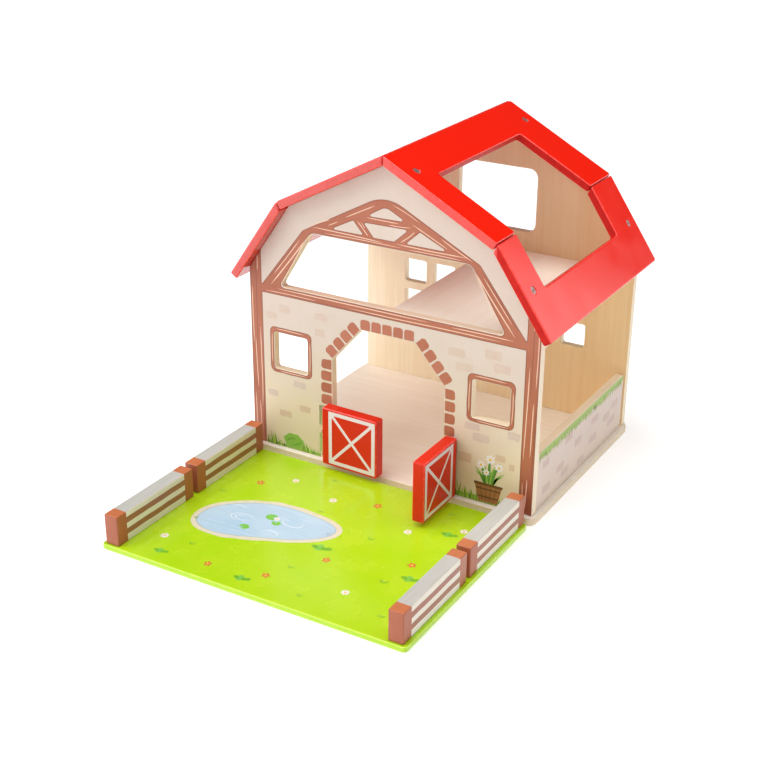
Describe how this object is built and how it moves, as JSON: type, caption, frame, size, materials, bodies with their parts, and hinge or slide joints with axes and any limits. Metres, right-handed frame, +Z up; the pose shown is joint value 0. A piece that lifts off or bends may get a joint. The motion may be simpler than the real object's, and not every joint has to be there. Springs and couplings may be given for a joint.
{
  "type": "toy barn with opening doors",
  "caption": "Wooden toy barn with a gambrel roof that is partly open, a half loft, hinged doors in an arched doorway, and a fenced green yard board in front.",
  "frame": {"origin": "middle of the base board's underside, which stands on the table", "axes": "+X to the right of the front wall, +Y from the front wall towards the rear wall, +Z up"},
  "size_m": [0.3274, 0.463, 0.3175],
  "materials": {
    "plain_wood": "smooth bare board with a clear coat",
    "printed_wood": "board printed with timbers and bricks under a clear coat",
    "red_paint": "satin red paint on wood",
    "green_paint": "gloss green print on wood",
    "fence_paint": "cream paint with brown stripes on wood",
    "dowel_wood": "bare beech",
    "hinge_steel": "plated steel",
    "screw_steel": "zinc-plated steel"
  },
  "bodies": {
    "barn": {"base_board": "plain_wood", "front_wall": "printed_wood", "rear_wall": "plain_wood", "right_half_wall": "printed_wood", "loft_floor": "plain_wood", "roof_left_lower": "red_paint", "roof_left_upper": "red_paint", "roof_right_upper": "red_paint", "roof_right_lower": "red_paint", "roof_screws": "screw_steel", "base_screws": "screw_steel", "loft_dowels": "dowel_wood", "hinge_left_top_wall_leaf": "hinge_steel", "hinge_left_low_wall_leaf": "hinge_steel", "hinge_right_top_wall_leaf": "hinge_steel", "hinge_right_low_wall_leaf": "hinge_steel", "hinge_pins": "hinge_steel", "hinge_wall_screws": "screw_steel"},
    "left_door": {"door_left": "red_paint", "hinge_left_top_door_leaf": "hinge_steel", "hinge_left_low_door_leaf": "hinge_steel", "door_left_screws": "screw_steel"},
    "right_door": {"door_right": "red_paint", "hinge_right_top_door_leaf": "hinge_steel", "hinge_right_low_door_leaf": "hinge_steel", "door_right_screws": "screw_steel"},
    "yard": {"yard_board": "green_paint", "fence_left_front": "fence_paint", "fence_left_rear": "fence_paint", "fence_right_front": "fence_paint", "fence_right_rear": "fence_paint", "fence_screws": "screw_steel"}
  },
  "joints": [
    {"name": "left_door_hinge", "type": "hinge", "parent": "barn", "child": "left_door", "pos_m": [-0.0645, -0.1125, 0.0395], "axis": [0, 0, -1], "range_deg": [-2, 100]},
    {"name": "right_door_hinge", "type": "hinge", "parent": "barn", "child": "right_door", "pos_m": [0.0645, -0.1125, 0.0395], "axis": [0, 0, 1], "range_deg": [-90, 12]},
    {"name": "yard_slide", "type": "slide", "parent": "barn", "child": "yard", "axis": [0, -1, 0], "range_m": [-0.0035, 0.08]}
  ]
}
